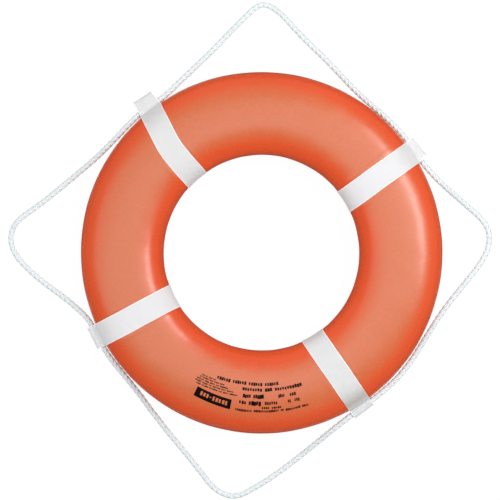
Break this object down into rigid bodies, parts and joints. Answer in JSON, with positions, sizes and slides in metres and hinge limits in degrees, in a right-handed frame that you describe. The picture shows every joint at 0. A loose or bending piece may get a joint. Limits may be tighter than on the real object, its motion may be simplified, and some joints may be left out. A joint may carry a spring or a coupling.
{
  "type": "ring lifebuoy",
  "caption": "Orange foam ring lifebuoy with a vinyl cover, white webbing straps round it and a white laid rope grab line through their sleeves.",
  "frame": {"origin": "on the ring's axis, at the height of the undersides of the straps, on which the lifebuoy rests face up", "axes": "+Z out of the printed front face along the ring's axis; +Y towards the side opposite the printing; +X to the right seen from the front"},
  "size_m": [1.0305, 1.0587, 0.1121],
  "materials": {
    "cover_vinyl": "satin vinyl coating",
    "foam": "closed-cell foam, matt",
    "webbing": "woven synthetic webbing",
    "rope": "three-strand laid synthetic rope, slight sheen",
    "thread": "synthetic sewing and whipping twine"
  },
  "bodies": {
    "root": {"cover_front": "cover_vinyl", "cover_back": "cover_vinyl", "foam_core_front": "foam", "foam_core_back": "foam", "strap_top_right": "webbing", "strap_top_left": "webbing", "strap_bottom_left": "webbing", "strap_bottom_right": "webbing", "stitching_top_right": "thread", "stitching_top_left": "thread", "stitching_bottom_left": "thread", "stitching_bottom_right": "thread", "grab_line": "rope", "grab_line_seizing": "thread"}
  },
  "joints": []
}
